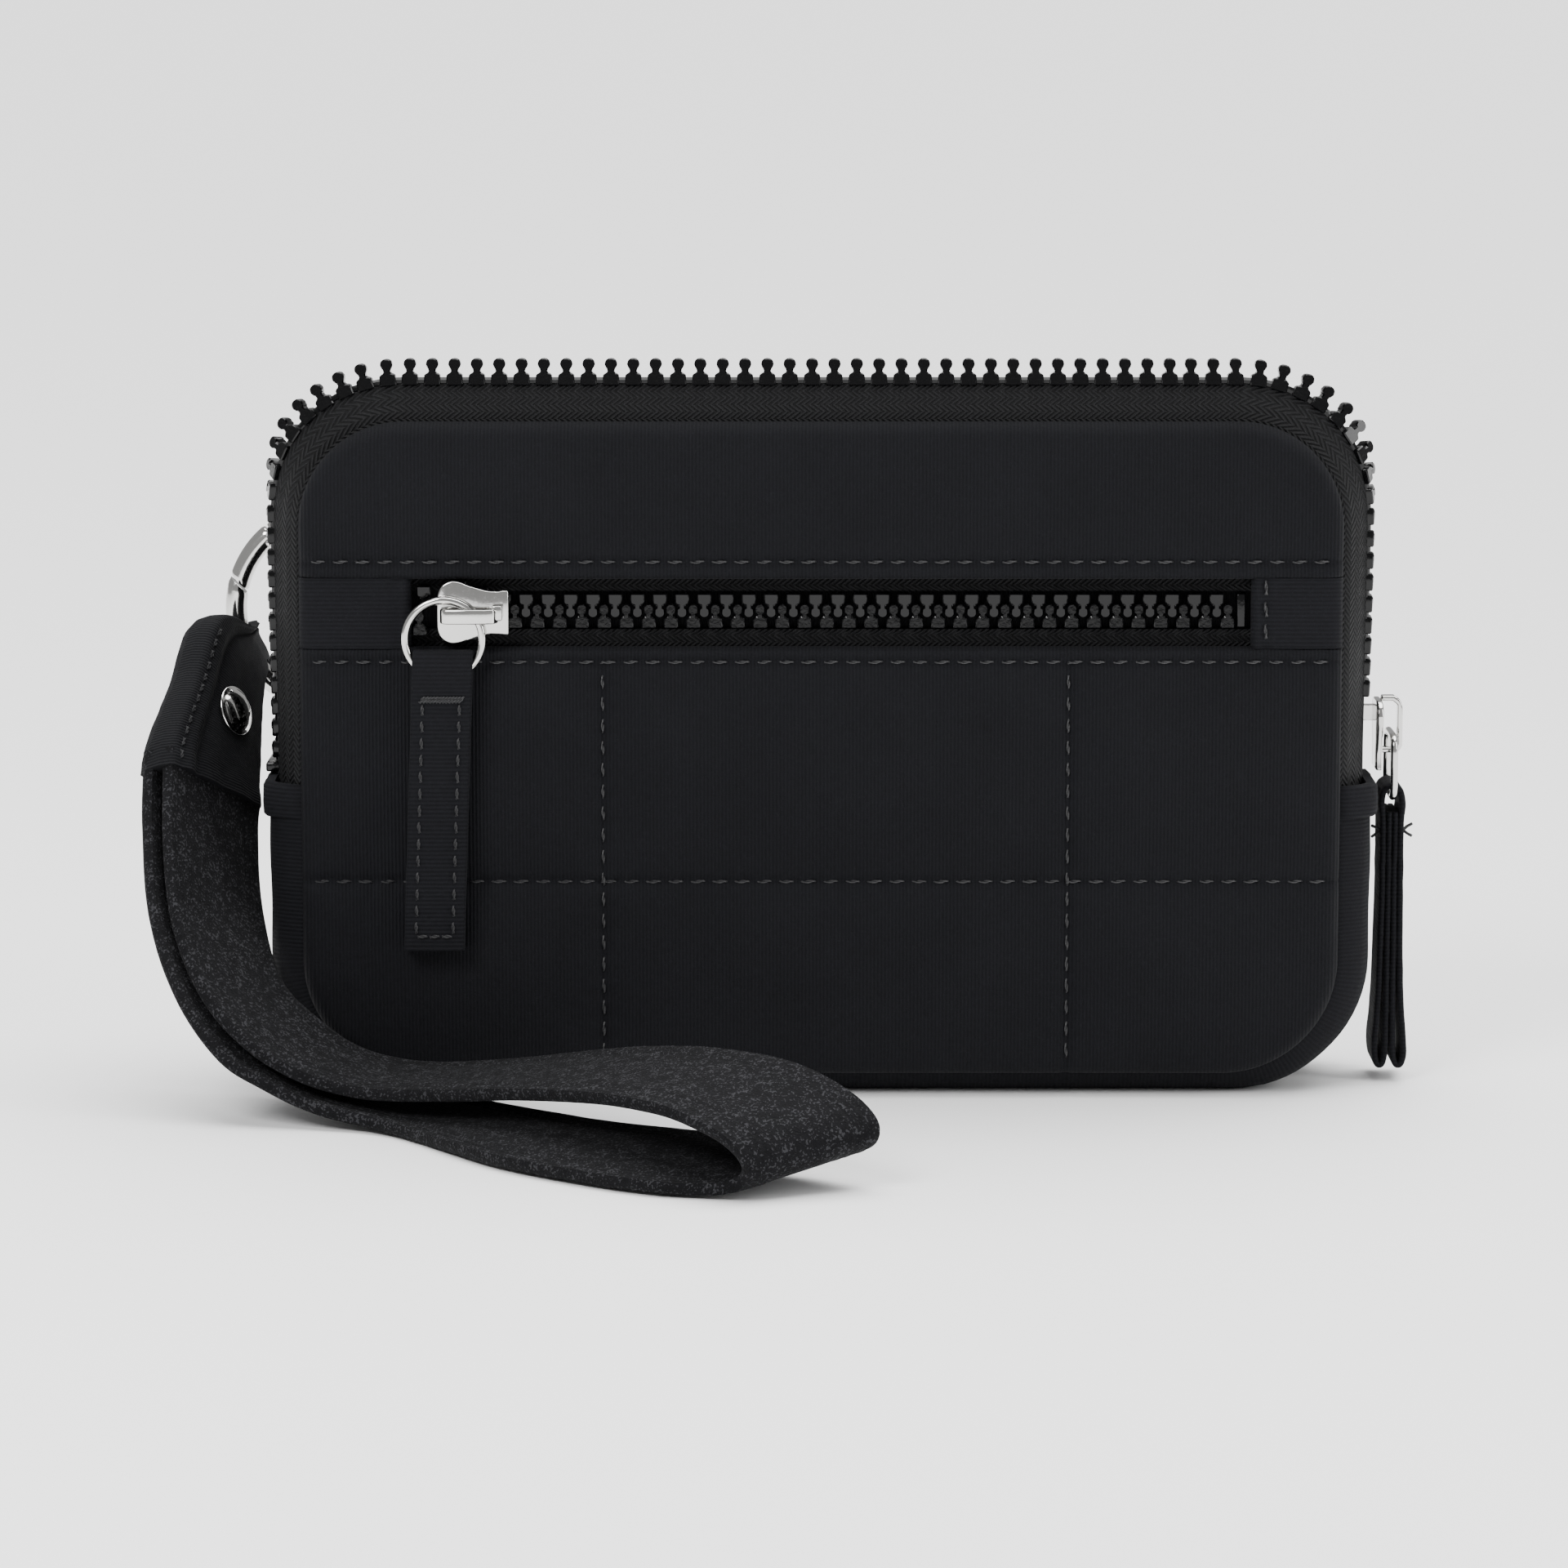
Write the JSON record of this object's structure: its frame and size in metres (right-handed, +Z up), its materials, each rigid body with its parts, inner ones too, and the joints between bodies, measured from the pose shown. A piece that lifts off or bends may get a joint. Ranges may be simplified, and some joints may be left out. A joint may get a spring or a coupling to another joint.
{
  "type": "zippered pouch",
  "caption": "Flat fabric wristlet pouch with a wrap-round main zip, a zipped front pocket and a folded webbing wrist strap on a spring gate ring",
  "frame": {"origin": "middle of the flat bottom of the gusset, on the surface that the pouch stands on", "axes": "+X to the right seen from the front, +Y from the front panel to the back panel, +Z up"},
  "size_m": [0.2186, 0.1288, 0.1272],
  "materials": {
    "shell_fabric": "blue-black bonded knit with a fine vertical rib",
    "lining_fabric": "smooth dark woven lining",
    "zip_tape": "black herringbone woven tape",
    "tooth_plastic": "glossy black moulded teeth",
    "nickel": "polished nickel plate",
    "strap_webbing": "thick charcoal webbing with a felted face and ribbed edges"
  },
  "bodies": {
    "root": {"back_panel": "shell_fabric", "gusset": "shell_fabric", "back_lining": "lining_fabric", "zip_end_cover_left": "shell_fabric", "zip_end_cover_right": "shell_fabric", "main_tape_back": "zip_tape", "main_teeth_back": "tooth_plastic", "main_bottom_stop": "tooth_plastic", "side_loop": "shell_fabric"},
    "front_half": {"front_panel_lower": "shell_fabric", "front_panel_upper": "shell_fabric", "pocket_end_left": "shell_fabric", "pocket_end_right": "shell_fabric", "front_lining": "lining_fabric", "pocket_bag": "lining_fabric", "main_tape_front": "zip_tape", "main_teeth_front": "tooth_plastic", "pocket_tape_lower": "zip_tape", "pocket_tape_upper": "zip_tape", "pocket_teeth_lower": "tooth_plastic", "pocket_teeth_upper": "tooth_plastic", "pocket_bottom_stop": "tooth_plastic"},
    "pocket_slider": {"pocket_slider_body": "nickel", "pocket_slider_bridge": "nickel"},
    "pocket_ring": {"pocket_pull_ring": "nickel"},
    "pocket_tab": {"pocket_pull_tab": "shell_fabric"},
    "main_slider": {"main_slider_body": "nickel", "main_slider_bridge": "nickel"},
    "main_ring": {"main_pull_ring": "nickel"},
    "main_tab": {"main_pull_tab": "shell_fabric"},
    "gate_ring": {"gate_ring_frame": "nickel", "gate_pin": "nickel"},
    "gate": {"gate_ring_gate": "nickel"},
    "strap": {"strap_tab": "shell_fabric", "strap_webbing": "strap_webbing", "rivet_cap": "nickel", "rivet_post": "nickel"}
  },
  "joints": [
    {"name": "mouth_open", "type": "hinge", "parent": "root", "child": "front_half", "pos_m": [0, -0.0183, 0.0038], "axis": [1, 0, 0], "range_deg": [0, 12], "stiffness_Nm_per_rad": 0.6, "deforming": ["main_tape_front", "main_teeth_front"]},
    {"name": "pocket_slider_travel", "type": "slide", "parent": "front_half", "child": "pocket_slider", "axis": [1, 0, 0], "range_m": [0, 0.122], "deforming": ["pocket_teeth_lower", "pocket_teeth_upper"]},
    {"name": "pocket_ring_lift", "type": "hinge", "parent": "pocket_slider", "child": "pocket_ring", "pos_m": [-0.0591, -0.0224, 0.0843], "axis": [-0.6446, 0, 0.7645], "range_deg": [0, 80]},
    {"name": "pocket_tab_lift", "type": "hinge", "parent": "pocket_ring", "child": "pocket_tab", "pos_m": [-0.0644, -0.0224, 0.0762], "axis": [-1, 0, 0], "range_deg": [0, 70], "deforming": ["pocket_pull_tab"]},
    {"name": "main_slider_travel", "type": "slide", "parent": "root", "child": "main_slider", "axis": [0, 0, 1], "range_m": [0, 0.0235], "deforming": ["main_teeth_back", "main_tape_back"]},
    {"name": "main_ring_lift", "type": "hinge", "parent": "main_slider", "child": "main_ring", "pos_m": [0.1003, 0, 0.0599], "axis": [0, -1, 0], "range_deg": [0, 80]},
    {"name": "main_tab_lift", "type": "hinge", "parent": "main_ring", "child": "main_tab", "pos_m": [0.0995, 0, 0.05], "axis": [0, -1, 0], "range_deg": [0, 55]},
    {"name": "ring_swing", "type": "hinge", "parent": "root", "child": "gate_ring", "pos_m": [-0.0865, 0.024, 0.0967], "axis": [0, 0, 1], "range_deg": [-6, 0], "deforming": ["side_loop"]},
    {"name": "gate_open", "type": "hinge", "parent": "gate_ring", "child": "gate", "pos_m": [-0.09765, 0.024, 0.09125], "axis": [0, -1, 0], "range_deg": [0, 25], "stiffness_Nm_per_rad": 0.02},
    {"name": "strap_swing", "type": "hinge", "parent": "gate_ring", "child": "strap", "pos_m": [-0.10266, 0.024, 0.0736], "axis": [0, 0, 1], "range_deg": [-75, 0], "deforming": ["strap_tab"]}
  ]
}
